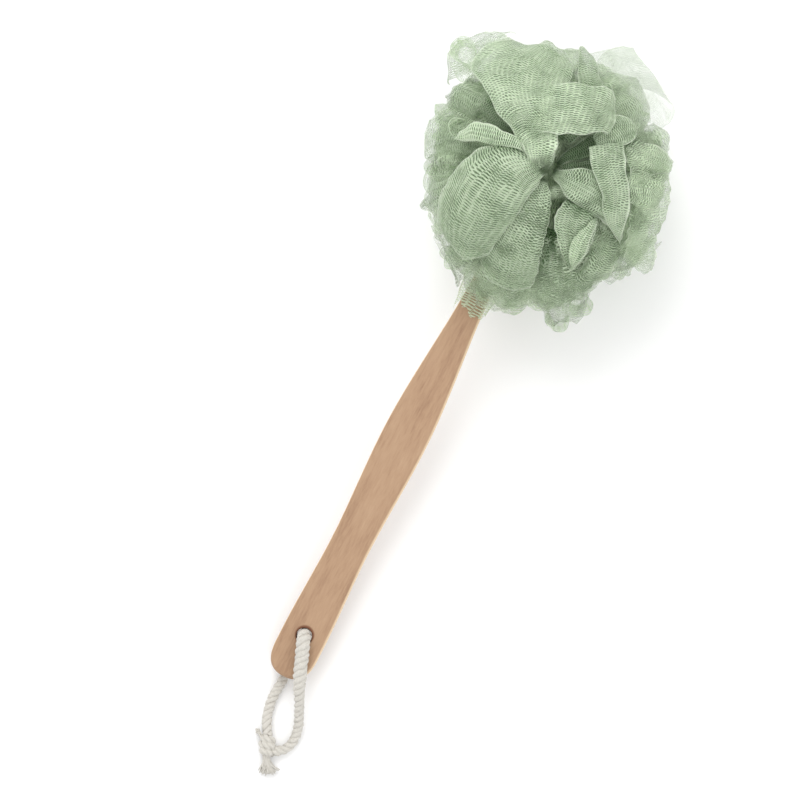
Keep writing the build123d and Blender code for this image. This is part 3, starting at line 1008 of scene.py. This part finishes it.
def twisted_strands(line, radius, lay, random, strands=3, swell=None, fullness=0.5):
    """Points and faces of strands laid round a line, in millimetres.

    swell takes the share of the line travelled and gives how much thicker it is there."""
    line, length = even_steps(line, 0.45)
    travelled = np.linspace(0, length, len(line))
    swell = np.ones(len(line)) if swell is None else swell(travelled / length)
    line = line + np.array([0, 0, 1]) * (radius * (swell - 1) * 0.8)[:, None]
    _, normals, binormals = line_frames(line)
    points, faces = [], []
    ring = 12
    strand_radius = radius * fullness
    offset = radius - strand_radius
    for strand in range(strands):
        angle = 2 * math.pi * (travelled / lay + strand / strands)
        angle = angle + 0.18 * np.sin(travelled / 5.3 + strand * 2.1)
        centre = line + (offset * swell)[:, None] * (
            np.cos(angle)[:, None] * normals + np.sin(angle)[:, None] * binormals
        )
        _, across, upward = line_frames(centre)
        fat = 1 + 0.07 * np.sin(travelled * 1.7 + strand) + 0.05 * random.normal(size=len(line))
        around = np.linspace(0, 2 * math.pi, ring, endpoint=False)
        rough = 1 + 0.05 * random.normal(size=(len(line), ring))
        rings = centre[:, None] + ((strand_radius * swell * fat)[:, None] * rough)[..., None] * (
            np.cos(around)[None, :, None] * across[:, None]
            + np.sin(around)[None, :, None] * upward[:, None]
        )
        rings[..., 2] = np.maximum(rings[..., 2], 0.05)
        base = sum(len(block) for block in points)
        points.append(rings.reshape(-1, 3))
        faces += grid_faces(len(line), ring, base, closed=True)
        faces.append([base + k for k in range(ring)][::-1])
        last = base + (len(line) - 1) * ring
        faces.append([last + k for k in range(ring)])
    return np.concatenate(points), faces


def tail_swell(share):
    """The rope is fuller where it lies on the tail and goes through the hole."""
    rise = np.clip((share - 0.24) / 0.16, 0, 1)
    fall = np.clip((0.60 - share) / 0.08, 0, 1)
    return 1 + 0.38 * (rise * rise * (3 - 2 * rise)) * fall


# the knot, and the frayed ends, in millimetres from the tail's end
KNOT_MIDDLE = (9.8, -40.3, 4.9)
KNOT_AXIS = (-0.454, 0.891)
KNOT_TURNS = 2.4
KNOT_LENGTH = 8.6
LOWER_END = [(11.8, -45.4, 4.2), (13.6, -50.0, 3.4)]
LOWER_TIPS = [
    (11.6, -55.4), (14.0, -57.4), (18.0, -56.2), (20.6, -54.4), (22.6, -52.0), (23.6, -48.6),
]
UPPER_END = [(6.6, -38.0, 5.2), (3.8, -36.8, 4.6)]
UPPER_TIPS = [(0.2, -33.9), (-1.0, -35.0), (0.4, -36.4)]


def from_tail(places):
    """Places given from the tail's end, as points on the floor's frame."""
    places = np.array(places, dtype=float)
    places[..., 1] += TAIL_Y / MM
    return places


def knot_line():
    """The turns of rope that make the knot."""
    share = np.linspace(0, 1, 90)
    angle = 2 * math.pi * KNOT_TURNS * share + 0.6
    along = KNOT_LENGTH * (share - 0.5)
    across = 2.5 * np.cos(angle)
    bulge = 1 - 0.35 * (2 * share - 1) ** 4
    x = KNOT_MIDDLE[0] + along * KNOT_AXIS[0] + across * bulge * KNOT_AXIS[1]
    y = KNOT_MIDDLE[1] + along * KNOT_AXIS[1] - across * bulge * KNOT_AXIS[0]
    z = KNOT_MIDDLE[2] + 1.9 * np.sin(angle) * bulge
    return from_tail(np.column_stack([x, y, z]))


def yarn_tuft(neck, tips, random, count, neck_radius, yarn_radius):
    """Points and faces of loose yarns that fan out from a neck to a line of tips."""
    points, faces = [], []
    ring, steps = 6, 14
    around = np.linspace(0, 2 * math.pi, ring, endpoint=False)
    start, bend = from_tail(neck)
    tips = from_tail([(*tip, 0) for tip in tips])
    for number in range(count):
        turn, spread = random.uniform(0, 2 * math.pi), math.sqrt(random.uniform(0, 1))
        aside = np.array([math.cos(turn), 0.3 * math.cos(turn), math.sin(turn)])
        shift = spread * neck_radius * aside
        place = random.uniform(0, len(tips) - 1)
        end = np.array([np.interp(place, range(len(tips)), tips[:, k]) for k in range(3)])
        end = bend + (end - bend) * random.uniform(0.72, 1.0)
        end[2] = random.uniform(0.5, 2 * neck[1][2] - 1.5)
        t = np.linspace(0, 1, steps)[:, None]
        middle = bend + shift * 0.9
        line = (1 - t) ** 2 * (start + shift) + 2 * t * (1 - t) * middle + t**2 * end
        wave = random.normal(size=3) * 0.45
        line = line + np.sin(t * random.uniform(5, 9) + turn) * wave * t
        _, normals, binormals = line_frames(line)
        radius = yarn_radius * (1 - 0.55 * t) * random.uniform(0.8, 1.2)
        rings = line[:, None] + radius[:, None] * (
            np.cos(around)[None, :, None] * normals[:, None]
            + np.sin(around)[None, :, None] * binormals[:, None]
        )
        rings[..., 2] = np.maximum(rings[..., 2], 0.05)
        base = number * steps * ring
        points.append(rings.reshape(-1, 3))
        faces += grid_faces(steps, ring, base, closed=True)
        faces.append([base + k for k in range(ring)][::-1])
        faces.append([base + (steps - 1) * ring + k for k in range(ring)])
    return np.concatenate(points), faces


def build_rope():
    cotton = cotton_material("cotton", (0.67, 0.645, 0.595), (0.43, 0.41, 0.36))
    random = np.random.default_rng(3)
    line = route_line("rope_route", ROPE_POINTS)
    pieces = {
        "hanging_rope": twisted_strands(line, ROPE_RADIUS, 11.0, random, swell=tail_swell),
        "rope_knot": twisted_strands(knot_line(), 2.6, 9.0, random),
        "rope_end_lower": yarn_tuft(LOWER_END, LOWER_TIPS, random, 60, 1.9, 0.62),
        "rope_end_upper": yarn_tuft(UPPER_END, UPPER_TIPS, random, 26, 1.9, 0.55),
    }
    made = {}
    for node, (points, faces) in pieces.items():
        piece = new_object(node.replace("rope", "cotton_rope"), points, faces, cotton)
        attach(piece, LOOP_BODY)
        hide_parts(node)
        made[node] = piece
    rope = made.pop("hanging_rope")


def build_handle():
    handle = frame["nodes"]["handle"]
    handle.data.materials.clear()
    handle.data.materials.append(wood_material())


def build_binding():
    thread = cotton_material("binding_thread", (0.55, 0.66, 0.45), (0.40, 0.50, 0.32))
    for name in ("binding_cord", "binding_knot"):
        frame["nodes"][name].data.materials.clear()
        frame["nodes"][name].data.materials.append(thread)


add_camera()
build_rope()
add_light_and_floor()
build_handle()
build_binding()
build_netting()
